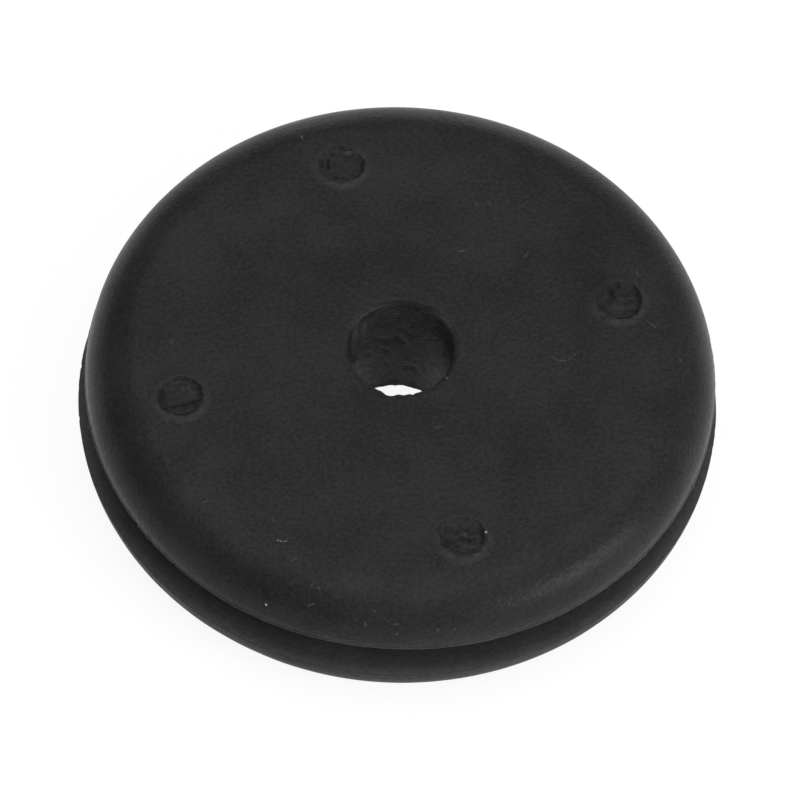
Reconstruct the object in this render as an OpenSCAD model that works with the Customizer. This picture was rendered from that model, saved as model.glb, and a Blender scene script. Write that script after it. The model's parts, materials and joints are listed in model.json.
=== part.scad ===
// Round cable grommet, moulded in one piece of black rubber.
// It stands on the face of its lower flange. The bore runs up the Z axis.
// The panel sits in the groove between the two flanges, and a cable goes through the bore.

/* [Panel] */
// Diameter of the hole in the panel, which the floor of the groove fills
panel_hole_d = 38; // [30:0.5:60]
// Thickness of the panel, which is the width of the groove
panel_t = 3; // [1.5:0.1:8]
// Radius of the fillets at the foot of the groove
groove_fillet_r = 0.4; // [0.1:0.1:0.7]

/* [Flanges] */
// How far the upper flange reaches over the edge of the panel's hole
upper_lip = 3; // [1:0.1:6]
// Thickness of the upper flange, all of it rounded at the rim
upper_flange_t = 3.8; // [2:0.1:5]
// How far the lower flange reaches over the edge of the panel's hole
lower_lip = 3.4; // [1:0.1:6]
// Thickness of the lower flange, all of it rounded at the rim
lower_flange_t = 3.8; // [2:0.1:5]

/* [Bore] */
// Diameter of the bore that the cable goes through
bore_d = 7.3; // [3:0.1:12]
// Radius of the rounded edge at both mouths of the bore
mouth_r = 0.4; // [0.2:0.1:1]

/* [Gate marks] */
// Number of places where the rubber entered the mould
mark_count = 4; // [3:1:5]
// Direction of the first mark, counted from the X axis
mark_angle = 18.75; // [0:0.25:90]
// Distance from the centre of a mark to the foot of the rounded rim
mark_inset = 2.35; // [2.3:0.05:4]
// Outer diameter of the ring that the gate pressed into the rubber
ring_d = 3.2; // [2.6:0.1:3.6]
// Width of that ring's groove
ring_w = 0.3; // [0.2:0.05:0.5]
// Depth of the ring's groove below the upper face
ring_depth = 0.25; // [0.1:0.05:0.5]
// How far the torn stub inside the ring lies below the swelling around it
stub_drop = 0.05; // [0.02:0.01:0.07]
// Diameter of the low swelling around a mark
swelling_d = 4.4; // [3.8:0.1:4.6]
// Height of the swelling above the upper face
swelling_h = 0.08; // [0.04:0.01:0.15]
// Width of the level crest between the ring and the swelling's slope
crest_w = 0.15; // [0.05:0.05:0.3]

/* [Hidden] */

// Fineness of the curves
$fn = 192;

rubber = [0.18, 0.18, 0.18];

// How far a cut reaches past the surface that it opens
cut_over = 0.1;

// How far a raised shape goes on inside the body that it stands on
root = 0.05;

panel_hole_r = panel_hole_d / 2;
bore_r = bore_d / 2;
upper_flange_r = panel_hole_r + upper_lip;
lower_flange_r = panel_hole_r + lower_lip;

// Heights of the groove's two walls and of the upper face
groove_low_z = lower_flange_t;
groove_high_z = groove_low_z + panel_t;
height = groove_high_z + upper_flange_t;

// The marks lie on a circle just inside the foot of the upper flange's rounded rim
mark_circle_r = upper_flange_r - upper_flange_t - mark_inset;

// The swelling's top, and its foot inside the body, on one slope through swelling_d at the face
crest_d = ring_d + 2 * crest_w;
root_d = swelling_d + (swelling_d - crest_d) * root / swelling_h;

// Half section of a flange, with its groove side along the X axis.
// The rim is a full quarter-round that ends in a crisp corner at the groove side.
module flange_section(r, t) {
    square([r - t, t]);
    translate([r - t, 0])
        intersection() {
            circle(r = t);
            square(t);
        }
}

// The sliver between a square corner at the origin and the arc that rounds it
module corner_section(r) {
    difference() {
        square(r);
        translate([r, r])
            circle(r = r);
    }
}

// Half section of the waist between the flanges, with a fillet at each wall of the groove
module waist_section() {
    square([panel_hole_r, panel_t]);
    translate([panel_hole_r, 0])
        corner_section(groove_fillet_r);
    translate([panel_hole_r, panel_t])
        mirror([0, 1])
            corner_section(groove_fillet_r);
}

// Half section of the bore, with a rounded edge at each mouth
module bore_section() {
    square([bore_r, height]);
    translate([bore_r, 0])
        corner_section(mouth_r);
    translate([bore_r, height])
        mirror([0, 1])
            corner_section(mouth_r);
}

// Half section of the whole moulding
module moulding_section() {
    difference() {
        union() {
            translate([0, groove_low_z])
                mirror([0, 1])
                    flange_section(lower_flange_r, lower_flange_t);
            translate([0, groove_low_z])
                waist_section();
            translate([0, groove_high_z])
                flange_section(upper_flange_r, upper_flange_t);
        }
        bore_section();
    }
}

// Repeats a shape at each gate mark, on the upper face
module at_each_mark() {
    for (i = [0 : mark_count - 1])
        rotate(mark_angle + i * 360 / mark_count)
            translate([mark_circle_r, 0, height])
                children();
}

// The rubber that swelled up around a gate, as a low cone that slopes down to the face
module mark_swelling() {
    translate([0, 0, -root])
        cylinder(h = root + swelling_h, d1 = root_d, d2 = crest_d);
}

// What is missing inside a mark: the ring's groove, and the skin of the torn stub
module mark_hollow() {
    translate([0, 0, -ring_depth])
        difference() {
            cylinder(h = ring_depth + swelling_h + cut_over, d = ring_d);
            cylinder(h = ring_depth + swelling_h - stub_drop, d = ring_d - 2 * ring_w);
        }
}

module grommet() {
    color(rubber)
        difference() {
            union() {
                rotate_extrude()
                    moulding_section();
                at_each_mark()
                    mark_swelling();
            }
            at_each_mark()
                mark_hollow();
        }
}

grommet();
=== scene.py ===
# %% [markdown]
# # A rubber grommet, from its section to its dust
#
# A grommet lines the edge of a hole in a panel, so that a cable through it isn't cut.
# This one is a single moulding of black rubber: two thick flanges with rounded rims, a waist
# between them that makes the groove for the panel, and a small straight bore for the cable.
#
# Everything about it is round, so nearly all of it can be turned from one half section, as a
# potter turns a pot against a template. What isn't round is what the mould and the years left:
# four gate marks, ragged flash at the rims, a rough bore, dust and lint.
#
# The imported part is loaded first. It gives the true sizes, and nothing here moves it.

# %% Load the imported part
import json
import math

import bmesh
import bpy
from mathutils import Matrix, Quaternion, Vector, kdtree, noise
from mathutils.bvhtree import BVHTree
from mathutils.geometry import intersect_point_line


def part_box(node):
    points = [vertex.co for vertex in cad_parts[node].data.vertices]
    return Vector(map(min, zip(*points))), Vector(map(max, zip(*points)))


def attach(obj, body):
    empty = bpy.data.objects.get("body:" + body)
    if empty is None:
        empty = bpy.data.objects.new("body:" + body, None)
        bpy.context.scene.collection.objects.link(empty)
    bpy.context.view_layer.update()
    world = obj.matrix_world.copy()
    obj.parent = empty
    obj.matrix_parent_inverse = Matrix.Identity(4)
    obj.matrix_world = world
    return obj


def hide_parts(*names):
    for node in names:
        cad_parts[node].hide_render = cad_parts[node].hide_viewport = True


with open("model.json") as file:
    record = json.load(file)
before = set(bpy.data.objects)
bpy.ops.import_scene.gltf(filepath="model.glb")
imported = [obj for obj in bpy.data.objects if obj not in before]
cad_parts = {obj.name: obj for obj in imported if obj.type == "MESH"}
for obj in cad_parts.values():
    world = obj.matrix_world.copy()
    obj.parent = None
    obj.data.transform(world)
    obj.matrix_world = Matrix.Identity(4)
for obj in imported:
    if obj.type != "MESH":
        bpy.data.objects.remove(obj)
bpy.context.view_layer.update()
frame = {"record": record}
MM = 0.001
low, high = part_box("grommet")
print("CAD box in mm:", [round(c / MM, 2) for c in (*low, *high)])

# %% [markdown]
# ## Read the sizes
#
# The mounts in the part's record give the bore, the groove's floor and the groove's width. The
# lower flange's radius comes from the CAD box. The few values that the frame doesn't hold are
# written here once, under the names that the part's own source gives them.

# %% Sizes in millimetres
mounts = {mount["name"]: mount["dims"] for mount in frame["record"]["mounts"]}
bore_r = mounts["cable_hole"]["r_mm"]
groove_r = mounts["panel_groove"]["r_mm"]
panel_t = mounts["panel_groove"]["length_mm"]
lower_flange_r = high.x / MM

upper_lip = 3.0
flange_t = 3.8
mouth_r = 0.4
groove_fillet_r = 0.4
mark_inset = 2.35
mark_count = 4
mark_angle = 18.75
ring_d = 3.2
ring_w = 0.3
ring_depth = 0.25
stub_drop = 0.05
swelling_h = 0.08

upper_flange_r = groove_r + upper_lip
groove_low_z = flange_t
groove_high_z = flange_t + panel_t
height = groove_high_z + flange_t
mark_circle_r = upper_flange_r - flange_t - mark_inset
print("upper face at", height, "mm, marks on a circle of", round(mark_circle_r, 2), "mm radius")

# %% [markdown]
# ## Put up the camera
#
# The camera comes before the shapes, because some small things are placed through it later:
# a speck of lint is found where the line from the camera through its place in the picture
# meets the rubber. A long lens from more than half a metre away shows the round part with
# hardly any perspective, looking down at 57 degrees and leaning a little to one side.

# %% The camera
PICTURE = 800
VIEW_DOWN = math.radians(57.46)
VIEW_LEAN = math.radians(3.61)
VIEW_DISTANCE = 580.3
VIEW_AIM = (0.17, -4.28)

camera_data = bpy.data.cameras.new("camera")
camera = bpy.data.objects.new("camera", camera_data)
bpy.context.scene.collection.objects.link(camera)
bpy.context.scene.camera = camera
camera_data.sensor_width = 36
camera_data.lens = 375.7
back = Vector((0, -math.cos(VIEW_DOWN), math.sin(VIEW_DOWN)))
camera.location = (Vector((0, 0, height)) + VIEW_DISTANCE * back) * MM
aim = Vector((*VIEW_AIM, height)) * MM
camera.rotation_mode = "QUATERNION"
look = (aim - camera.location).to_track_quat("-Z", "Y")
camera.rotation_quaternion = look @ Quaternion((0, 0, 1), VIEW_LEAN)
print("camera at", [round(c, 3) for c in camera.location], "m")


def sight_line(column, row):
    """The direction from the camera through a place in the picture, in the part's frame."""
    across = (column - PICTURE / 2) / PICTURE * camera_data.sensor_width
    up = (PICTURE / 2 - row) / PICTURE * camera_data.sensor_width
    return camera.rotation_quaternion @ Vector((across, up, -camera_data.lens)).normalized()


# %% [markdown]
# ## Draw a half section and turn it
#
# A turned shape can start from a curve with the Screw modifier, or from a mesh section that is
# spun. A mesh section is used here, because a vertex bevel rounds each of its corners to an
# exact radius, and each straight stretch can be cut as finely as the wear on it needs.
#
# A corner is written as its distance from the axis, its height, the radius that rounds it off
# and how many short edges the rounding gets. Spinning a long section in a thousand steps is
# slow, because each step searches all that went before, so one sector is spun, and copies of
# it are turned into place and merged, twice as many each time.

# %% A helper that draws a section and turns it
SAME_PLACE = 1e-7
CUT_SLACK = 0.01
DOUBLINGS = 5


def turn(bm, corners, longest, steps, centre=(0.0, 0.0)):
    """Adds the surface that a section with rounded corners sweeps about an upright axis."""
    section = bmesh.new()
    points = [section.verts.new((r * MM, 0, z * MM)) for r, z, _, _ in corners]
    for start, end in zip(points, points[1:]):
        section.edges.new((start, end))
    for point, (_, _, rounding, short_edges) in zip(points, corners):
        if rounding:
            bmesh.ops.bevel(section, geom=[point], offset=rounding * MM, segments=short_edges,
                            profile=0.5, affect="VERTICES", material=-1)
    for edge in section.edges[:]:
        cuts = math.ceil(edge.calc_length() / (longest * MM) - CUT_SLACK) - 1
        if cuts > 0:
            bmesh.ops.subdivide_edges(section, edges=[edge], cuts=cuts)
    sector = math.tau / 2 ** DOUBLINGS
    bmesh.ops.spin(section, geom=section.verts[:] + section.edges[:], cent=(0, 0, 0),
                   axis=(0, 0, 1), dvec=(0, 0, 0), angle=sector, steps=steps // 2 ** DOUBLINGS)
    for _ in range(DOUBLINGS):
        copy = bmesh.ops.duplicate(section, geom=section.faces[:])["geom"]
        copied = [v for v in copy if isinstance(v, bmesh.types.BMVert)]
        turned_by = Quaternion((0, 0, 1), sector).to_matrix()
        bmesh.ops.rotate(section, verts=copied, cent=(0, 0, 0), matrix=turned_by)
        sector *= 2
    bmesh.ops.remove_doubles(section, verts=section.verts[:], dist=SAME_PLACE)
    bmesh.ops.translate(section, verts=section.verts[:],
                        vec=(centre[0] * MM, centre[1] * MM, 0))
    swept = bpy.data.meshes.new("swept section")
    section.to_mesh(swept)
    section.free()
    bm.from_mesh(swept)
    bpy.data.meshes.remove(swept)


# %% [markdown]
# ## The skin: both rims and the groove
#
# The section runs from the flat of the upper face over the rounded rim to its lip, into the
# groove and out again, and round the lower rim to the flat that it rests on. Each rim is a
# quarter-round as tall as its flange. The mould's parts met at the groove, and rubber crept a
# little way between them, so the lips carry a thin fin of flash. The quarter-round stops a
# fin's thickness short of the lip, where it already stands within a degree or two of upright,
# so a helper works out the corner at which the face's line and the line down to the fin meet.

# %% Turn the skin
FIN_T = 0.2
UPPER_FIN = 0.07
LOWER_FIN = 0.02
LIP_R = 0.03
FACE_RING = 0.05


def rim_corner(lip_r, rim_r):
    """The corner that a rim is rounded from, its rounding's length, and the foot of the rim."""
    short_of_upright = math.asin(FIN_T / rim_r)
    tangent = rim_r * math.tan((math.pi / 2 - short_of_upright) / 2)
    foot_r = lip_r - rim_r * (1 - math.cos(short_of_upright))
    return lip_r - rim_r + tangent, tangent - LIP_R, foot_r


lower_rim_r = lower_flange_r - LOWER_FIN
flat_r = upper_flange_r - flange_t - FACE_RING
lower_flat_r = lower_rim_r - flange_t - FACE_RING
upper_corner_r, upper_tangent, upper_foot_r = rim_corner(upper_flange_r, flange_t)
lower_corner_r, lower_tangent, lower_foot_r = rim_corner(lower_rim_r, flange_t)

body = bmesh.new()
turn(body, [
    (flat_r, height, 0, 0),
    (upper_corner_r, height, upper_tangent, 22),
    (upper_foot_r, groove_high_z + FIN_T, LIP_R, 1),
    (upper_flange_r + UPPER_FIN, groove_high_z, LIP_R, 2),
    (groove_r, groove_high_z, groove_fillet_r, 3),
    (groove_r, groove_low_z, groove_fillet_r, 3),
    (lower_rim_r + LOWER_FIN, groove_low_z, LIP_R, 2),
    (lower_foot_r, groove_low_z - FIN_T, LIP_R, 1),
    (lower_corner_r, 0, lower_tangent, 16),
    (lower_flat_r, 0, 0, 0),
], longest=0.9, steps=960)
print("skin:", len(body.verts), "vertices")

# %% [markdown]
# ## The bore
#
# The bore is a section of its own with fewer steps round the axis, because it is only a sixth
# as wide. Both mouths are rounded, the lower one hardly at all, and a flat ring round each
# keeps the rounding's shading, and the wear on it, off the face.

# %% Turn the bore
LOWER_MOUTH_R = 0.1
MOUTH_RING = 0.35
mouth_flat_r = bore_r + mouth_r + MOUTH_RING
turn(body, [
    (mouth_flat_r, height, 0, 0),
    (bore_r + mouth_r + MOUTH_RING / 2, height, 0, 0),
    (bore_r, height, mouth_r, 7),
    (bore_r, 0, LOWER_MOUTH_R, 3),
    (mouth_flat_r, 0, 0, 0),
], longest=0.28, steps=256)
print("with the bore:", len(body.verts), "vertices")

# %% [markdown]
# ## Fine discs for the gate marks
#
# Rubber was pushed into the mould through four gates, and each left a pressed ring with a torn
# stub inside it and a low swelling around it. A ring is only 0.3 mm wide, so each mark gets
# its own disc of closely spaced rings, to be shaped later.

# %% Turn four discs of close rings
DISC_GAP = 0.05
MARK_RINGS = 36
disc_r = mark_inset - DISC_GAP
mark_centres = []
for i in range(mark_count):
    turned_by = math.radians(mark_angle + i * 360 / mark_count)
    centre = (mark_circle_r * math.cos(turned_by), mark_circle_r * math.sin(turned_by))
    mark_centres.append(centre)
    turn(body, [(0, height, 0, 0), (disc_r, height, 0, 0)], longest=disc_r / MARK_RINGS,
         steps=96, centre=centre)
print("with the marks:", len(body.verts), "vertices")

# %% [markdown]
# ## Close the two flat faces
#
# The upper face now has six open edges: the rim's, the bore's and those of the four discs. A
# triangle fill closes the flat between them, and another closes the underside. Only then, with
# the shell closed, are the normals made to agree.

# %% Fill between the open edges
def fill_face(bm, z):
    """Fills the flat between all the open edges that lie at one height."""
    rims = [edge for edge in bm.edges if edge.is_boundary
            and all(abs(v.co.z - z * MM) < SAME_PLACE for v in edge.verts)]
    bmesh.ops.triangle_fill(bm, edges=rims, use_beauty=True, normal=(0, 0, 1))
    return len(rims)


print("edges filled:", fill_face(body, height), "above and", fill_face(body, 0), "below")
bmesh.ops.remove_doubles(body, verts=body.verts[:], dist=SAME_PLACE)
bmesh.ops.recalc_face_normals(body, faces=body.faces[:])
print("open edges left:", sum(edge.is_boundary for edge in body.edges),
      "volume:", round(body.calc_volume() / MM ** 3), "mm3")

# %% [markdown]
# ## Shape the wear by moving points
#
# The rest of the form is sculpted. Each step moves points by a rule, such as a dip at a
# distance from a centre, roughened by noise that is the same on every run. Two values are kept
# for each point as it is moved, so that the rubber's material can follow the form: how dark
# the surface is painted there, for torn rubber and as painted shade in the gate marks' rings and
# tears, and how pale, for wear and dust and as painted light on the lips and the swellings' feet.

# %% Helpers for shaping
HAIR = 0.01
torn = body.verts.layers.float.new("torn")
pale = body.verts.layers.float.new("pale")


def dome(distance, reach):
    """1 at the centre, falling smoothly to 0 at the reach."""
    share = min(abs(distance) / reach, 1.0)
    return (1 - share * share) ** 2


def waver(x, y, z, spacing, seed=0.0):
    """Smooth noise between about -1 and 1, with lumps about one spacing apart."""
    return noise.noise(Vector((x, y, z)) / spacing + Vector((seed, seed * 0.7, -seed)))


def rough(x, y, z, spacing, seed=0.0):
    """The same with finer lumps added on the coarse ones."""
    return (waver(x, y, z, spacing, seed) + 0.5 * waver(x, y, z, spacing / 2, seed + 5)
            + 0.25 * waver(x, y, z, spacing / 4, seed + 9)) / 1.4


# %% [markdown]
# ### Gate marks
#
# All four marks have a ring, a stub and a swelling, as in the part's source. The ring is
# shallow in most places here, and painted dark instead: partly torn rubber that fills it, partly
# painted shade where a deep ring would lie in shade. The deep places come later.

# %% Shape the gate marks
RING_SHARE = 0.3
RING_WANDER = 0.05
RING_WORN_EDGE = 0.06
STUB_STEP = 0.3
STUB_ROUGHNESS = 0.03
# a paler ring at each swelling's foot: painted light, stronger on the front where the slope faces
# the lamps
PAINTED_LIGHT_RING_R = 1.85
PAINTED_LIGHT_RING_REACH = 0.5
PAINTED_LIGHT_ALL_ROUND = 0.28
PAINTED_LIGHT_IN_FRONT = 0.2
ring_mid = (ring_d - ring_w) / 2


def mark_shape(x, y, seed):
    """The height that a gate mark adds at a place from its centre, how dark and how pale it is."""
    out = math.hypot(x, y) + RING_WANDER * waver(x, y, seed, 0.9, seed)
    ring = dome(out - ring_mid, ring_w / 2 + RING_WORN_EDGE)
    ring *= 0.7 + 0.6 * waver(x, y, seed, 1.3, seed + 3)
    inside = dome(max(out - ring_mid + STUB_STEP, 0), STUB_STEP)
    swelling = swelling_h * (1 - inside) * dome(max(out - ring_d / 2, 0), disc_r - ring_d / 2)
    stub = inside * (-stub_drop + STUB_ROUGHNESS * rough(x, y, seed, 0.45, seed + 7))
    # the swelling's foot is painted paler, more so on the front: painted light where its slope faces
    # the lamps
    towards_front = -y / max(out, 0.1)
    painted_light_foot = dome(out - PAINTED_LIGHT_RING_R, PAINTED_LIGHT_RING_REACH)
    painted_light_foot *= PAINTED_LIGHT_ALL_ROUND + PAINTED_LIGHT_IN_FRONT * towards_front
    painted_light_foot *= 0.9 + 0.9 * waver(x, y, seed, 0.6, seed + 2)
    lift = swelling - ring_depth * RING_SHARE * ring + stub
    # the second value darkens the ring and round the stub: partly torn rubber, partly painted shade
    return lift, 0.5 * ring + 0.25 * inside, max(painted_light_foot, 0)


moved = 0
for seed, (cx, cy) in enumerate(mark_centres, start=1):
    for v in body.verts:
        x, y = v.co.x / MM - cx, v.co.y / MM - cy
        if v.co.z > (height - HAIR) * MM and math.hypot(x, y) < disc_r - HAIR:
            lift, v[torn], v[pale] = mark_shape(x, y, seed * 11.0)
            v.co.z += lift * MM
            moved += 1
print("points moved in the gate marks:", moved)

# %% [markdown]
# ### Bore
#
# The bore was formed by a worn pin: its wall is pitted, more so towards the lower mouth, and
# both of its edges are nicked. The nicks are placed by their direction round the bore.

# %% Shape the bore
# direction round the bore and half width in degrees, and depth in millimetres
MOUTH_NICKS = [(-99, 10, 0.3), (-84, 5, 0.08), (-74, 3, 0.12), (-48, 5, 0.12), (-30, 4, 0.08),
               (62, 9, 0.05), (160, 8, 0.06)]
NICK_REACH = 0.9
FOOT_FLASH = 0.08
FOOT_REACH = 0.5
PITS = 0.03
LOW_PITS = 0.06
PIT_DARKNESS = 5
MOUTH_CLEAR = 0.5

for v in body.verts:
    r, z = math.hypot(v.co.x, v.co.y) / MM, v.co.z / MM
    if r < bore_r + mouth_r:
        x, y = v.co.x / MM, v.co.y / MM
        depth_share = 1 - z / height
        pits = PITS * rough(x, y, z, 0.8, 21)
        pits += LOW_PITS * depth_share * rough(x, y, z, 0.45, 27)
        direction = math.degrees(math.atan2(y, x))
        nick = sum(depth * dome((direction - at + 180) % 360 - 180, width)
                   for at, width, depth in MOUTH_NICKS) * dome(height - z, NICK_REACH)
        foot = -FOOT_FLASH * dome(z, FOOT_REACH) * (1 + rough(x, y, z, 0.7, 29))
        wall = min((bore_r + mouth_r - r) / mouth_r, 1)
        grow = 1 + (pits + nick + foot) * wall / r
        v.co.x *= grow
        v.co.y *= grow
        below_mouth = 1 - dome(height - z, MOUTH_CLEAR)
        v[torn] = min(wall * PIT_DARKNESS * max(-pits, 0) * below_mouth, 1)

# %% [markdown]
# ### Flash and rims
#
# The fin of flash is never even: it comes and goes along the lip, is torn back here and there,
# and leaves a few nibs. The rims are also pushed in and out by a few hundredths of a
# millimetre over their width, because rubber shrinks unevenly as it cures, and the two halves
# of the mould didn't quite line up, so the upper rim sits a tenth of a millimetre to one side.

# %% Shape the lips and the rims
# direction round the part and half width in degrees, and how far out in millimetres
NIBS = [(-165, 0.4, 0.1), (-143, 0.5, -0.12), (-139, 0.35, 0.1), (-132, 0.4, -0.1),
        (-118, 0.3, 0.06), (-37, 0.5, 0.08), (-58, 0.4, -0.08), (-20, 0.5, 0.09),
        (178, 0.8, 0.08)]
LOWER_NIBS_TURN = 40
RAGGED = 0.05
FINE_RAGGED = 0.03
UNEVEN = 0.025
FINE_UNEVEN = 0.008
RIM_BLEND = 1.5
FOOT_KEPT = 0.2
MOULD_SLIP = 0.1
LIP_REACH = 0.34
# how pale the lips are painted: partly wear, partly a painted highlight
LIP_PALE_AND_HIGHLIGHT = 0.9


def flash_edge(x, y, seed):
    """How far the fin of flash is drawn out or torn back at a direction round the part."""
    direction = math.degrees(math.atan2(y, x))
    direction += seed * LOWER_NIBS_TURN
    nibs = sum(out * dome((direction - at + 180) % 360 - 180, width) for at, width, out in NIBS)
    return RAGGED * rough(x, y, 0, 2.2, seed) + FINE_RAGGED * waver(x, y, 0, 0.5, seed + 2) + nibs


for v in body.verts:
    x, y, z = (c / MM for c in v.co)
    r = math.hypot(x, y)
    if r > groove_r + 0.1:
        uneven = UNEVEN * waver(x, y, z, 5.0, 31) + FINE_UNEVEN * waver(x, y, z, 1.2, 33)
        upper = dome(math.hypot(r - upper_flange_r - UPPER_FIN, z - groove_high_z), LIP_REACH)
        lower = dome(math.hypot(r - lower_rim_r - LOWER_FIN, z - groove_low_z), LIP_REACH)
        fin = upper * flash_edge(x, y, 0) + lower * min(flash_edge(x, y, 1), 0)
        on_rim = min(max((r - flat_r) / RIM_BLEND, 0), 1) if z > FOOT_KEPT else 0
        grow = 1 + (fin + min(uneven, 0) * on_rim) / r
        v.co.x *= grow
        v.co.y *= grow
        if z > groove_high_z + HAIR:
            v.co.x += MOULD_SLIP * MM
        elif z > groove_high_z - HAIR:
            v.co.x += MOULD_SLIP * MM * min((r - groove_r) / upper_lip, 1)
        # the lips are painted paler: partly wear on the flash, partly a painted highlight along the
        # lip
        worn_and_highlit_lip = LIP_PALE_AND_HIGHLIGHT * (upper + 0.5 * lower) * (1 + 0.8 * rough(x, y, z, 0.8, 41))
        v[pale] = max(v[pale], worn_and_highlit_lip)

# %% [markdown]
# ### Tears, flakes and patches placed through the camera
#
# What makes each mark its own is how it tore. These places are set through the camera:
# a stroke runs between two places in the picture, and the sight line through each is followed
# to the rubber. A stroke has a reach to both sides, a depth that it dips (or a height that it
# stands proud, as a minus), and a tone: how dark it is painted, for torn rubber and as painted
# shade in the hollows, or, as a minus, how pale, which in some strokes is painted light.

# %% Helpers that find places on the rubber and work strokes into it
body.normal_update()
surface = BVHTree.FromBMesh(body)


def on_rubber(place):
    """Where the sight line through a place in the picture meets the rubber."""
    return surface.ray_cast(camera.location, sight_line(*place))[0]


# the corners of the long thin triangles stay where they are, or the flat face would ripple
LONG_EDGE = 1.0 * MM
STROKE_RAGGED = 0.3
RAGGED_LUMP = 0.35
RAGGED_REACH = 1.5
kept = {v.index for edge in body.edges if edge.calc_length() > LONG_EDGE for v in edge.verts}
points = kdtree.KDTree(len(body.verts))
for v in body.verts:
    if v.index not in kept:
        points.insert(v.co, v.index)
points.balance()
body.verts.ensure_lookup_table()


def work_in(strokes, seed, wider=1.0, gentler=1.0):
    """Dips or raises the rubber along strokes, and paints it darker, as tears and painted shade, or
    paler.
    """
    for begin, end, reach, depth, tone in strokes:
        reach, depth = reach * wider, depth * gentler
        first, last = on_rubber(begin), on_rubber(end)
        middle, half = (first + last) / 2, (last - first).length / 2
        for place, index, _ in points.find_range(middle, half + reach * MM * RAGGED_REACH):
            nearest, share = intersect_point_line(place, first, last)
            nearest = first.lerp(last, min(max(share, 0), 1))
            x, y, z = (c / MM for c in place)
            away = (place - nearest).length / MM
            away += STROKE_RAGGED * reach * rough(x, y, z, RAGGED_LUMP, seed)
            weight = dome(max(away, 0), reach)
            if weight:
                v = body.verts[index]
                v.co -= v.normal * weight * depth * MM
                v[torn] = min(max(v[torn], weight * tone), 1)
                v[pale] = max(v[pale] * (1 - weight), weight * -tone)


# %% Tear the four gate marks
TEARS_LEFT = [
    ((161.3, 390), (162, 400), 0.24, 0.16, 0.9), ((161.5, 389), (167, 383), 0.18, 0.1, 0.6),
    ((167, 383), (174, 380), 0.16, 0.08, 0.5), ((174, 379), (184, 378.3), 0.17, 0.12, 0.7),
    ((184, 378.3), (193, 381.5), 0.19, 0.12, 0.7), ((193, 381.5), (198, 387), 0.2, 0.12, 0.7),
    ((198, 387), (200, 397), 0.2, 0.12, 0.7), ((160.5, 401), (163, 407), 0.26, 0.15, 0.8),
    ((163, 407), (169, 411.5), 0.22, 0.14, 0.7), ((175, 413.5), (186, 414), 0.18, 0.12, 0.7),
    ((186, 414), (193, 410), 0.18, 0.1, 0.6), ((164, 404), (172, 406.5), 0.26, 0.1, 0.6),
    ((172, 406.5), (183, 404), 0.26, 0.14, 0.9), ((183, 404), (192, 402), 0.26, 0.14, 0.8),
    ((192, 402), (199, 399.5), 0.24, 0.12, 0.8), ((183, 386), (188, 388), 0.26, -0.05, -0.2),
    ((188, 388), (193, 395), 0.3, -0.05, -0.22), ((177.5, 410.3), (180.5, 411), 0.16, -0.06, -0.2),
    # the strokes below this mark that pale without dipping are painted light where the swelling
    # faces the lamps
    ((187, 409.5), (190.5, 409), 0.16, -0.06, -0.2), ((163, 416.5), (170, 418.5), 0.26, 0, -0.45),
    ((186, 416), (200, 413.5), 0.26, 0, -0.45),
]
TEARS_BACK = [
    ((333, 146.5), (340, 147.5), 0.18, 0.12, 0.6), ((340, 147.5), (351, 149.5), 0.16, 0.1, 0.5),
    ((331, 150), (332, 155), 0.18, 0.12, 0.6), ((321.5, 159), (321.8, 168), 0.15, 0.14, 0.8),
    ((327.3, 159), (327.6, 168), 0.15, 0.16, 0.9), ((324.3, 160), (324.6, 168), 0.12, -0.06, -0.12),
    # the raised flake that ends the next line is painted fully pale: a painted highlight on it
    ((331, 153.5), (337, 155), 0.15, 0.08, 0.5), ((345.5, 152.4), (351, 152.5), 0.14, -0.1, -1),
    ((343, 155.5), (351, 156), 0.15, 0.12, 0.6), ((352, 154), (357, 157), 0.24, 0.1, 0.5),
    ((358, 157), (362, 161), 0.2, 0.12, 0.6), ((362, 161), (361.6, 170), 0.24, 0.16, 0.8),
    ((361, 171), (357, 176), 0.18, 0.12, 0.6), ((330, 172.5), (336, 177), 0.17, 0.1, 0.5),
    ((336, 177), (347, 178.6), 0.17, 0.12, 0.6), ((347, 178.6), (357, 176), 0.17, 0.12, 0.6),
]
TEARS_RIGHT = [
    ((609, 287.5), (611, 293), 0.3, 0.16, 0.9), ((611, 293), (613, 299), 0.24, 0.15, 0.8),
    ((616.3, 283), (618, 285), 0.18, 0.14, 0.7), ((618, 285), (626, 286), 0.26, 0.08, 0.4),
    ((622, 292), (630, 292), 0.4, 0.08, 0.35), ((632, 288), (636, 293), 0.24, 0.14, 0.7),
    ((636, 293), (639, 300), 0.22, 0.14, 0.8), ((639, 300), (637, 309), 0.22, 0.12, 0.7),
    ((616.5, 300), (625, 302.5), 0.19, 0.12, 0.6), ((631, 300), (634, 300.5), 0.22, 0.12, 0.7),
    ((626.5, 310), (632, 309.8), 0.2, 0.12, 0.7), ((636, 309.5), (635, 313), 0.2, 0.12, 0.6),
    ((617.5, 317.5), (628, 317), 0.19, 0.14, 0.8), ((628, 317), (635, 313), 0.18, 0.12, 0.6),
    ((602.5, 305.5), (604, 309.5), 0.32, 0.1, 0.7), ((600.5, 299.5), (605, 296), 0.18, -0.05, -0.2),
    ((611, 306), (611.8, 311), 0.22, -0.06, -0.3), ((613, 303.5), (623, 306), 0.2, -0.05, -0.18),
    ((613, 313), (619, 312), 0.17, -0.04, -0.2), ((600, 316), (604, 319), 0.16, 0.06, 0.5),
    # the strokes below this mark that pale without dipping are painted light where the swelling
    # faces the lamps
    ((611, 308), (620, 308), 0.34, -0.03, -0.32), ((612, 322), (618, 324), 0.26, 0, -0.4),
    ((628, 320), (644, 323), 0.26, 0, -0.4),
]
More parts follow.
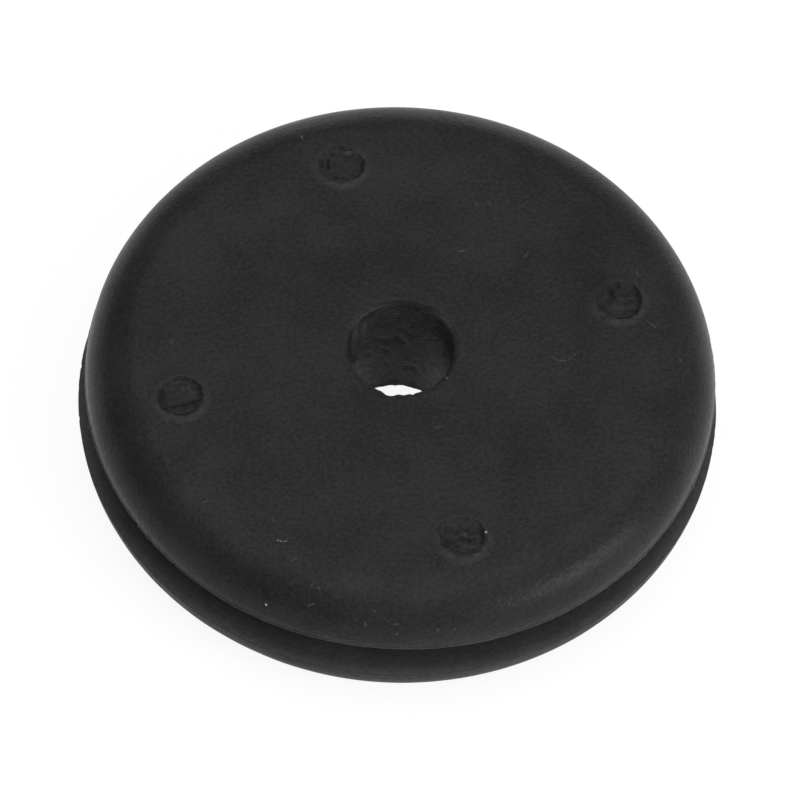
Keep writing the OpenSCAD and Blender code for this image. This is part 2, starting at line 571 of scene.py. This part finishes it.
TEARS_FRONT = [
    ((438.5, 528), (442, 534), 0.26, 0.1, 0.6), ((444, 538), (449, 542), 0.3, 0.15, 0.8),
    ((442, 543), (446, 546), 0.24, 0.14, 0.7), ((446, 546.5), (456, 546), 0.16, 0.1, 0.5),
    ((453, 549), (459, 552), 0.19, 0.1, 0.6), ((460, 526), (468, 528), 0.26, 0.1, 0.5),
    ((448, 528), (456, 531), 0.4, 0.07, 0.4), ((460.8, 537.5), (469, 540), 0.2, 0.14, 0.8),
    ((469, 540), (474, 538), 0.17, 0.1, 0.6), ((466, 530), (472, 531), 0.26, 0.1, 0.5),
    ((478, 524), (481.5, 533), 0.2, 0.1, 0.5), ((481.5, 533), (481, 543), 0.19, 0.1, 0.5),
    ((481, 530), (483, 531), 0.14, 0.12, 0.8), ((456, 520.5), (466, 518.5), 0.18, 0.07, 0.4),
    ((466, 518.5), (477, 522), 0.18, 0.08, 0.4), ((440, 524), (448, 520), 0.18, 0.06, 0.3),
    ((463, 545.5), (478, 546.3), 0.22, -0.06, -0.22),
    ((463.5, 534.5), (465.5, 535.5), 0.16, -0.08, -0.8),
    ((442.3, 548), (442.9, 548.2), 0.13, -0.06, -0.5), ((449, 533), (456, 537), 0.18, -0.03, -0.12),
    # the strokes below this mark that pale without dipping are painted light where the swelling
    # faces the lamps
    ((486, 546), (480, 556), 0.36, 0, -0.4), ((450, 562), (468, 564), 0.3, 0, -0.25),
    ((434, 550), (440, 560), 0.25, 0, -0.2),
]
for seed, tears in enumerate((TEARS_RIGHT, TEARS_BACK, TEARS_LEFT, TEARS_FRONT), start=60):
    work_in(tears, seed, wider=1.25, gentler=0.6)

# %% [markdown]
# ### The bore's own patches
#
# The bore's mouth has a dark rolled edge, most of all at the back. Inside, the wall is
# blotched, with a paler, dusty stretch on the left and dark pits in the middle.

# %% Work the patches into the bore
PATCHES = [
    ((372, 306), (384, 303), 0.22, 0.02, 0.6), ((384, 303), (398, 301.8), 0.22, 0.03, 0.8),
    ((398, 301.8), (414, 303), 0.25, 0.03, 0.9), ((414, 303), (430, 308), 0.25, 0.03, 0.8),
    ((430, 307), (446, 317), 0.16, 0.03, 0.7), ((446, 317), (455, 331), 0.13, 0.02, 0.5),
    ((455, 331), (457.5, 348), 0.13, 0.02, 0.5), ((457.5, 348), (454, 362), 0.13, 0.02, 0.5),
    ((360, 316), (352, 330), 0.2, 0.02, 0.3), ((349, 340), (350, 358), 0.2, 0.02, 0.3),
    ((424, 311.5), (431, 314.5), 0.2, -0.04, -0.8), ((432, 315), (438, 319), 0.18, -0.03, -0.7),
    ((412, 308), (416, 309.5), 0.12, -0.03, -0.35), ((446, 353.5), (455, 354), 0.14, -0.03, -0.6),
    ((451, 338), (452, 350), 0.14, -0.03, -0.35),
    ((356, 325), (354, 350), 0.8, 0, -0.45), ((364, 324), (363, 345), 0.6, 0, -0.35),
    ((443, 318), (450, 340), 0.7, 0, -0.3),
    ((396, 337), (404, 345), 0.6, 0.05, 0.7), ((383, 349), (388, 352), 0.4, 0.05, 0.7),
    ((378, 339), (386, 341), 0.45, 0.04, 0.5), ((404, 330), (409, 334), 0.5, 0.04, 0.5),
    ((384, 363), (389, 365), 0.35, 0.05, 0.8), ((402, 352), (424, 346), 0.9, 0.02, 0.3),
    ((408, 366), (415, 369), 0.35, 0.04, 0.5), ((370, 362), (375, 366), 0.35, 0.04, 0.5),
    ((436, 371), (441, 375), 0.3, -0.03, -0.5), ((354, 363), (359, 362), 0.25, -0.03, -0.5),
    ((349, 356), (353, 366), 0.2, -0.03, -0.4), ((434, 368), (437, 366), 0.25, -0.03, -0.4),
]
work_in(PATCHES, 70)

for v in body.verts:
    v.co.z = min(max(v.co.z, low.z), high.z)
print("highest point:", round(max(v.co.z for v in body.verts) / MM, 3), "mm")

# %% [markdown]
# ## Materials from small parts
#
# Black rubber isn't one flat black. Its skin has faint clouds where it flowed, a fine grain
# from the mould, darker torn places, paler scuffs, and dust and lint that cling to it. Painted
# shade darkens the gate marks' rings and tears, and painted light pales the lips and the
# swellings' feet. Each of these could be painted as a picture, but here they are worked out from
# the place on the part, in millimetres, so they have no seams and stay sharp at any distance.
#
# What several materials use is a node group with named inputs and outputs, built once.

# %% Helpers for nodes
def add(tree, kind, inputs=(), **settings):
    """Adds a node. An input is a number, a colour or vector, or another node's output."""
    made = tree.nodes.new("ShaderNode" + kind)
    for name, value in settings.items():
        setattr(made, name, value)
    for name, value in dict(inputs).items():
        if isinstance(value, bpy.types.NodeSocket):
            tree.links.new(value, made.inputs[name])
        else:
            made.inputs[name].default_value = value
    return made


def maths(tree, operation, first, second=0.0, third=0.0):
    """The result of a Math node, held between 0 and 1 only by the operations that say so."""
    return add(tree, "Math", {0: first, 1: second, 2: third}, operation=operation).outputs[0]


def ramp(tree, value, start, end, low_value=0.0, high_value=1.0):
    """A smooth step from one value to another as the input goes from start to end."""
    return add(tree, "MapRange", {"Value": value, "From Min": start, "From Max": end,
                                  "To Min": low_value, "To Max": high_value},
               interpolation_type="SMOOTHSTEP").outputs["Result"]


def blend(tree, factor, first, second):
    """One colour laid over another by a mask."""
    mix = add(tree, "Mix", data_type="RGBA")
    for socket, value in zip((mix.inputs[0], mix.inputs[6], mix.inputs[7]), (factor, first, second)):
        if isinstance(value, bpy.types.NodeSocket):
            tree.links.new(value, socket)
        else:
            socket.default_value = value
    return mix.outputs[2]


def group(name, inputs, outputs):
    """An empty node group with its sockets: names and kinds, with a value for each input."""
    tree = bpy.data.node_groups.new(name, "ShaderNodeTree")
    for socket, kind, value in inputs:
        made = tree.interface.new_socket(socket, in_out="INPUT", socket_type="NodeSocket" + kind)
        if value is not None:
            made.default_value = value
    for socket, kind in outputs:
        tree.interface.new_socket(socket, in_out="OUTPUT", socket_type="NodeSocket" + kind)
    return tree, tree.nodes.new("NodeGroupInput").outputs, tree.nodes.new("NodeGroupOutput").inputs


# %% [markdown]
# ### Clouds and grain
#
# Four sizes of noise make the skin: wide bloom nearly a centimetre across, clouds of a few
# millimetres, speckle of a quarter of a millimetre, and the mould's own grain. The first
# three change the tone a little. The last two go out as a height in millimetres, for a Bump
# node.

# %% Build the group for clouds and grain
skin_group, given, made = group(
    "Rubber skin",
    [("Place", "Vector", None), ("Cloud size", "Float", 3.0), ("Grain size", "Float", 0.16)],
    [("Tone", "Float"), ("Height", "Float")])
tree = skin_group


def noise_of(size, detail):
    """Noise between 0 and 1 with lumps of a size in millimetres."""
    made_node = add(tree, "TexNoise", {"Vector": given["Place"], "Detail": detail,
                                       "Scale": maths(tree, "DIVIDE", 1.0, size)})
    return made_node.outputs["Fac"]


BLOOM_SIZE = 9.0
SPECKLE_SIZE = 0.28
BLOOM_SHARE = 0.3
CLOUD_SHARE = 0.25
SPECKLE_SHARE = 0.45
SPECKLE_HEIGHT = 0.035
GRAIN_HEIGHT = 0.024

bloom = noise_of(BLOOM_SIZE, 1.0)
cloud = noise_of(given["Cloud size"], 1.0)
speckle = noise_of(SPECKLE_SIZE, 1.0)
grain = noise_of(given["Grain size"], 1.0)
tone = maths(tree, "MULTIPLY_ADD", bloom, BLOOM_SHARE, maths(tree, "MULTIPLY", cloud, CLOUD_SHARE))
tree.links.new(maths(tree, "MULTIPLY_ADD", speckle, SPECKLE_SHARE, tone), made["Tone"])
lumps = maths(tree, "MULTIPLY", speckle, SPECKLE_HEIGHT)
tree.links.new(maths(tree, "MULTIPLY_ADD", grain, GRAIN_HEIGHT, lumps), made["Height"])
print("group", skin_group.name, "has", len(skin_group.nodes), "nodes")

# %% [markdown]
# ### Dust
#
# Dust is a scatter of points. A Voronoi texture gives each cell a point and a random colour:
# the colour's red decides if the cell has a speck at all, and its green how large it is.

# %% Build the group for dust
dust_group, given, made = group(
    "Dust",
    [("Place", "Vector", None), ("Spacing", "Float", 1.2), ("Share", "Float", 0.3),
     ("Speck", "Float", 0.05)],
    [("Mask", "Float")])
tree = dust_group
cells = add(tree, "TexVoronoi", {"Vector": given["Place"],
                                 "Scale": maths(tree, "DIVIDE", 1.0, given["Spacing"])})
chance = add(tree, "SeparateColor", {"Color": cells.outputs["Color"]})
chosen = maths(tree, "LESS_THAN", chance.outputs["Red"], given["Share"])
reach = maths(tree, "MULTIPLY", given["Speck"], maths(tree, "POWER", chance.outputs["Green"], 2.0))
away = maths(tree, "MULTIPLY", cells.outputs["Distance"], given["Spacing"])
speck = ramp(tree, away, reach, 0.0)
tree.links.new(maths(tree, "MULTIPLY", speck, chosen), made["Mask"])

# %% [markdown]
# ### Lint
#
# A scrap of fibre that lies on the rubber is a short line with soft sides. The group finds the
# distance from a place to that line, and gives a mask that fades out at its width.

# %% Build the group for one fibre
fibre_group, given, made = group(
    "Fibre",
    [("Place", "Vector", None), ("Start", "Vector", (0, 0, 0)), ("Run", "Vector", (1, 0, 0)),
     ("Width", "Float", 0.08), ("Strength", "Float", 1.0), ("Under", "Float", None)],
    [("Mask", "Float")])
tree = fibre_group


def vectors(tree, operation, first, second, output="Vector"):
    """The result of a Vector Math node."""
    made_node = add(tree, "VectorMath", {0: first, 1: second}, operation=operation)
    return made_node.outputs[output]


from_start = vectors(tree, "SUBTRACT", given["Place"], given["Start"])
along = vectors(tree, "DOT_PRODUCT", from_start, given["Run"], "Value")
run_squared = vectors(tree, "DOT_PRODUCT", given["Run"], given["Run"], "Value")
share = add(tree, "Clamp", {"Value": maths(tree, "DIVIDE", along, run_squared)}).outputs[0]
nearest = add(tree, "VectorMath", {0: given["Run"], "Scale": share}, operation="SCALE").outputs[0]
away = vectors(tree, "DISTANCE", from_start, nearest, "Value")
soft = maths(tree, "MULTIPLY", ramp(tree, away, given["Width"], 0.0), given["Strength"])
tree.links.new(maths(tree, "MAXIMUM", soft, given["Under"]), made["Mask"])

# %% [markdown]
# ### Place the lint
#
# The scraps are placed through the camera: each is two places in the picture, its width
# in millimetres and how pale it is. The sight line through each place is followed to the
# rubber, so every scrap lies on the surface, and stays there from any side.

# %% Find where the lint lies
LINT = [
    ((266, 604.3), (266.2, 605), 0.12, 1.0),
    ((277, 540), (282, 541.5), 0.09, 0.3),
    ((282, 541.5), (287, 541), 0.09, 0.22),
    ((247, 546), (274, 540), 0.07, 0.03),
    ((291, 561), (297, 558), 0.1, 0.07),
    ((272.5, 519), (274, 520.5), 0.09, 0.12),
    ((308, 606), (314, 603.5), 0.1, 0.12),
    ((311, 586), (314, 583), 0.09, 0.06),
    ((318, 587), (319.5, 588.5), 0.09, 0.09),
    ((326.8, 636.5), (327.2, 637), 0.1, 0.2),
    ((365, 623), (366, 625.5), 0.12, 0.14),
    ((373, 610), (375, 611.5), 0.09, 0.1),
    ((394.6, 624.6), (397, 624), 0.13, 0.1),
    ((396.2, 634.6), (397.6, 633.8), 0.16, 0.06),
    ((437.6, 630), (438.4, 630.8), 0.1, 0.2),
    ((454.4, 629.2), (455, 629.7), 0.12, 0.12),
    ((368.5, 619.5), (369.5, 620), 0.16, 0.035),
    ((355, 620.4), (356.5, 620.8), 0.16, 0.03),
    ((383, 618), (384.5, 618.6), 0.15, 0.035),
    ((388, 621), (389.4, 621.5), 0.15, 0.03),
    ((464, 628.8), (465, 629), 0.14, 0.03),
    ((434, 602.8), (435.5, 603), 0.15, 0.03),
    ((485.8, 531.8), (486.2, 532.2), 0.12, 0.8),
    ((473.5, 555), (478.5, 554.4), 0.17, 0.05),
    ((475.5, 558.6), (479, 558.2), 0.14, 0.03),
    ((551, 356), (559, 360.5), 0.08, 0.06),
    ((559, 360.5), (568, 361), 0.08, 0.09),
    ((568, 361), (575, 354), 0.08, 0.05),
    ((458, 251.5), (465.5, 250.5), 0.1, 0.1),
    ((524, 257), (528, 253), 0.1, 0.07),
    ((434.5, 427.5), (443, 426), 0.11, 0.09),
    ((476, 204), (478, 205), 0.1, 0.08),
    ((489, 202), (491, 205), 0.11, 0.06),
    ((170.5, 341.5), (172, 342.5), 0.12, 0.06),
    ((637, 272), (638, 275), 0.11, 0.05),
    ((648, 322), (656, 327.5), 0.08, 0.08),
    ((680, 359), (681, 361), 0.09, 0.08),
    ((301.5, 136), (302.5, 138), 0.1, 0.18),
    ((202, 502), (208, 501), 0.08, 0.1),
    ((446.3, 377), (447, 378.3), 0.1, 0.3),
]

print("first scrap of lint at", [round(c / MM, 2) for c in on_rubber(LINT[0][0])], "mm")

# %% [markdown]
# ### The moulded rubber
#
# The rubber's own black is lightened or darkened a little by the clouds. The torn places are
# darker, and the darkness in the gate marks' rings and tears is partly painted shade. The worn
# and dusty ones are paler, and so are the lips, partly as a painted highlight, and the swellings'
# feet, as painted light. Dust and lint lie over all of it. Its gloss is weak but not wide, so a
# rim mirrors the white paper only near its lip, where it turns steeply down, and stays dark
# inside that.

# %% Build the moulded rubber
DARK = (0.0215, 0.0215, 0.022, 1)
LIGHT = (0.0425, 0.0425, 0.0432, 1)
TORN_AND_SHADE = (0.013, 0.013, 0.013, 1)
TORN_AND_SHADE_SHARE = 0.75
TORN_ROUGHNESS = 0.9
ROUGHNESS_SPREAD = 0.04
# a ramp's start and end, and for the last two its values there as well
TONE_RANGE = (0.3, 0.7)
PATCHY = (0.35, 0.6, 0.6, 1.1)
BROKEN = (0.35, 0.6, 0.25, 1.0)
# the pale colour: wear and dust, and painted light on the lips, the swellings' feet and a flake
PALE_WEAR_AND_LIGHT = (0.075, 0.075, 0.077, 1)
DUST = (0.2, 0.195, 0.185, 1)
LINT_COLOUR = (0.85, 0.84, 0.82, 1)
LINT_LUMP = 0.12
# spacing in millimetres, share of the cells that hold a speck, its reach, and its strength
DUST_LAYERS = [(1.1, 0.35, 0.07, 0.14), (3.1, 0.5, 0.13, 0.2)]


def rubber_material(name, lint, cloud_size, colours, bump, gloss, roughness):
    """Black rubber with its clouds, grain, tears, wear, dust and lint, and its painted shade and
    light.
    """
    dark, light, pale_wear_and_light = colours
    material = bpy.data.materials.new(name)
    material.use_nodes = True
    tree = material.node_tree
    shader = tree.nodes["Principled BSDF"]
    metres = add(tree, "TexCoord").outputs["Object"]
    place = add(tree, "VectorMath", {0: metres, "Scale": 1 / MM}, operation="SCALE").outputs[0]
    skin = add(tree, "Group", node_tree=skin_group)
    skin.inputs["Cloud size"].default_value = cloud_size
    tree.links.new(place, skin.inputs["Place"])
    colour = blend(tree, ramp(tree, skin.outputs["Tone"], *TONE_RANGE), dark, light)
    torn_mask = add(tree, "Attribute", attribute_name="torn").outputs["Fac"]
    pale_mask = add(tree, "Attribute", attribute_name="pale").outputs["Fac"]
    # torn places darken the colour, and so does painted shade in the gate marks' rings and tears
    colour = blend(tree, maths(tree, "MULTIPLY", torn_mask, TORN_AND_SHADE_SHARE), colour, TORN_AND_SHADE)
    patchy = maths(tree, "MULTIPLY", pale_mask, ramp(tree, skin.outputs["Tone"], *PATCHY))
    # the pale colour covers wear and dust, and painted light on the lips, the swellings' feet and a
    # flake
    colour = blend(tree, patchy, colour, pale_wear_and_light)
    for spacing, share, speck, strength in DUST_LAYERS:
        dust = add(tree, "Group", node_tree=dust_group)
        tree.links.new(place, dust.inputs["Place"])
        for socket, value in (("Spacing", spacing), ("Share", share), ("Speck", speck)):
            dust.inputs[socket].default_value = value
        colour = blend(tree, maths(tree, "MULTIPLY", dust.outputs["Mask"], strength), colour, DUST)
    under = None
    for begin, end, width, strength in lint:
        first, last = on_rubber(begin) / MM, on_rubber(end) / MM
        fibre = add(tree, "Group", node_tree=fibre_group)
        tree.links.new(place, fibre.inputs["Place"])
        if under:
            tree.links.new(under, fibre.inputs["Under"])
        for socket, value in (("Start", first), ("Run", last - first), ("Width", width),
                              ("Strength", strength)):
            fibre.inputs[socket].default_value = value
        under = fibre.outputs["Mask"]
    if under:
        broken = add(tree, "TexNoise", {"Vector": place, "Scale": 1 / LINT_LUMP, "Detail": 0.0})
        patches = ramp(tree, broken.outputs["Fac"], *BROKEN)
        colour = blend(tree, maths(tree, "MULTIPLY", under, patches), colour, LINT_COLOUR)
    tree.links.new(colour, shader.inputs["Base Color"])
    smooth = ramp(tree, skin.outputs["Tone"], *TONE_RANGE, roughness + ROUGHNESS_SPREAD,
                  roughness - ROUGHNESS_SPREAD)
    rougher = maths(tree, "MAXIMUM", smooth, maths(tree, "MULTIPLY", torn_mask, TORN_ROUGHNESS))
    tree.links.new(rougher, shader.inputs["Roughness"])
    relief = add(tree, "Bump", {"Height": skin.outputs["Height"], "Strength": bump, "Distance": MM})
    tree.links.new(relief.outputs["Normal"], shader.inputs["Normal"])
    shader.inputs["Specular IOR Level"].default_value = gloss
    print(name, "has", len(tree.nodes), "nodes")
    return material


rubber_mesh = bpy.data.meshes.new("grommet_rubber")
moulded = rubber_material("moulded rubber", LINT, cloud_size=3.0, colours=(DARK, LIGHT, PALE_WEAR_AND_LIGHT),
                          bump=0.7, gloss=0.12, roughness=0.36)
rubber_mesh.materials.append(moulded)

# %% [markdown]
# ### The sheltered rubber
#
# The groove's rubber is a paler grey: painted light that lifts the shade under the upper
# flange, where the lamps give too little. The bore's wall is browner where it is dusty. The
# lower rim is as black as the upper one, but duller. The faces are given these materials by
# their place: all that lies inside the lips, all of the bore's wall below its mouth, and the rim
# below the groove.

# %% Build the sheltered rubber and give it to its faces
BORE_COLOURS = ((0.0115, 0.0111, 0.0111, 1), (0.034, 0.0329, 0.0324, 1), (0.13, 0.112, 0.11, 1))
# the groove's paler grey is painted light in its shade
GROOVE_PAINTED_LIGHT_COLOURS = ((0.062, 0.061, 0.06, 1), (0.092, 0.091, 0.089, 1), (0.11, 0.11, 0.11, 1))
SHELTERED_ROUGHNESS = 0.5
SHELTERED_BUMP = 0.8
GROOVE_MARGIN = 0.5
# the order in which the materials are added, after the moulded rubber
BORE_SLOT, GROOVE_SLOT, RIM_SLOT = 1, 2, 3

for name, cloud_size, colours, gloss in (("bore rubber", 1.2, BORE_COLOURS, 0.12),
                                         ("groove rubber", 2.4, GROOVE_PAINTED_LIGHT_COLOURS, 0.2),
                                         ("lower rim rubber", 3.0, (DARK, LIGHT, PALE_WEAR_AND_LIGHT), 0.12)):
    sheltered = rubber_material(name, [], cloud_size, colours, SHELTERED_BUMP, gloss,
                                SHELTERED_ROUGHNESS)
    rubber_mesh.materials.append(sheltered)

for face in body.faces:
    middle = face.calc_center_median() / MM
    r = math.hypot(middle.x, middle.y)
    inside_lips = groove_r - GROOVE_MARGIN < r < upper_flange_r + MOULD_SLIP
    at_groove = groove_low_z - 2 * HAIR < middle.z < groove_high_z + 2 * HAIR
    if r < bore_r + mouth_r / 2 and middle.z < height - mouth_r:
        face.material_index = BORE_SLOT
    elif inside_lips and at_groove:
        face.material_index = GROOVE_SLOT
    elif HAIR < middle.z < groove_low_z:
        face.material_index = RIM_SLOT

# %% Make the object
body.to_mesh(rubber_mesh)
body.free()
rubber_mesh.shade_smooth()
grommet = bpy.data.objects.new("grommet_rubber", rubber_mesh)
bpy.context.scene.collection.objects.link(grommet)
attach(grommet, "root")
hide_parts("grommet")
rubber_mesh.calc_loop_triangles()
print("triangles:", len(rubber_mesh.loop_triangles))

# %% [markdown]
# ## The table and the backdrop
#
# The part lies on plain white paper that fills the picture. Bright paper is easy to overdo: if
# lamps made it white, they would flood the rubber too. So the paper is an ordinary pale grey
# to the light that falls on the part, and only what the camera and clear reflections see of
# it is lifted the rest of the way. The lift stops short of white, so a soft shadow stays.
#
# Two flat faces in the same place flicker where they meet. So the paper is cut out where the
# part's underside lies, with a small disc left below the bore, and it can't be seen from
# below, where the underside shows instead.

# %% Lay the paper
PAPER_SIZE = 2.0
PAPER_COLOUR = (0.66, 0.66, 0.66, 1)
PAPER_SEEN = (0.2, 0.2, 0.2, 1)
PAPER_LIFT = 0.9
PAPER_SEGMENTS = 96
PAPER_UNDER = 0.1
CUT_OUT_R = lower_flange_r - flange_t + PAPER_UNDER
DISC_R = bore_r + LOWER_MOUTH_R - HAIR

sheet = bmesh.new()
bmesh.ops.create_circle(sheet, radius=PAPER_SIZE, segments=PAPER_SEGMENTS)
bmesh.ops.create_circle(sheet, radius=CUT_OUT_R * MM, segments=PAPER_SEGMENTS)
bmesh.ops.bridge_loops(sheet, edges=sheet.edges[:])
bmesh.ops.create_circle(sheet, cap_ends=True, radius=DISC_R * MM, segments=PAPER_SEGMENTS)
for face in sheet.faces:
    if face.normal.z < 0:
        face.normal_flip()
print("paper:", len(sheet.faces), "faces, cut out to", CUT_OUT_R, "mm")
paper_mesh = bpy.data.meshes.new("paper")
sheet.to_mesh(paper_mesh)
sheet.free()
paper = bpy.data.objects.new("paper", paper_mesh)
bpy.context.scene.collection.objects.link(paper)

paper_material = bpy.data.materials.new("white paper")
paper_material.use_nodes = True
tree = paper_material.node_tree
shader = tree.nodes["Principled BSDF"]
rays = add(tree, "LightPath").outputs
clear_view = maths(tree, "MAXIMUM", rays["Is Camera Ray"],
                   maths(tree, "MAXIMUM", rays["Is Glossy Ray"], rays["Is Transmission Ray"]))
tree.links.new(blend(tree, clear_view, PAPER_COLOUR, PAPER_SEEN), shader.inputs["Base Color"])
tree.links.new(maths(tree, "MULTIPLY", clear_view, PAPER_LIFT), shader.inputs["Emission Strength"])
shader.inputs["Emission Color"].default_value = (1, 1, 1, 1)
shader.inputs["Roughness"].default_value = 1.0
shader.inputs["Specular IOR Level"].default_value = 0.0
one_sided = add(tree, "MixShader")
tree.links.new(add(tree, "NewGeometry").outputs["Backfacing"], one_sided.inputs[0])
tree.links.new(shader.outputs["BSDF"], one_sided.inputs[1])
tree.links.new(add(tree, "BsdfTransparent").outputs["BSDF"], one_sided.inputs[2])
tree.links.new(one_sided.outputs["Shader"], tree.nodes["Material Output"].inputs["Surface"])
paper_mesh.materials.append(paper_material)

# %% [markdown]
# ## Light
#
# A small dark part needs wide, soft light. A large round lamp overhead gives most of it, and a
# dim even world fills the rest. A low strip behind edges the far rim, and a soft box in front
# on the right gives the sheen there. The left gets none, so the rim has its dark band.

# %% Set the light
WORLD_LIGHT = 0.12
LAMP_DISTANCE = 0.6
LAMPS = [
    # direction round the part and height above the table in degrees, width and height in
    # metres, and watts
    ("overhead", 0, 90, 0.84, 0.84, 1.98),
    ("front right", 328, 20, 0.36, 0.21, 1.5),
    ("behind", 90, 7.5, 0.47, 0.155, 0.36),
]

world = bpy.data.worlds.new("studio")
bpy.context.scene.world = world
world.use_nodes = True
tree = world.node_tree
rays = add(tree, "LightPath").outputs
strength = add(tree, "MapRange", {"Value": rays["Is Camera Ray"], "To Min": WORLD_LIGHT,
                                  "To Max": 1.0})
background = tree.nodes["Background"]
tree.links.new(strength.outputs["Result"], background.inputs["Strength"])
background.inputs["Color"].default_value = (1, 1, 1, 1)


def lamp(name, around, above, width, tall, watts):
    """A soft lamp that faces the part."""
    light = bpy.data.lights.new(name, "AREA")
    light.shape = "ELLIPSE" if above == 90 else "RECTANGLE"
    light.size, light.size_y = width, tall
    light.energy = watts
    made_lamp = bpy.data.objects.new(name, light)
    bpy.context.scene.collection.objects.link(made_lamp)
    around, above = math.radians(around), math.radians(above)
    direction = Vector((math.cos(around) * math.cos(above), math.sin(around) * math.cos(above),
                        math.sin(above)))
    made_lamp.location = direction * LAMP_DISTANCE
    made_lamp.rotation_euler = (-direction).to_track_quat("-Z", "Y").to_euler()


for lamp_values in LAMPS:
    lamp(*lamp_values)
print("lamps:", [lamp_values[0] for lamp_values in LAMPS])

# %% Finish
bpy.context.scene.view_settings.view_transform = "Standard"
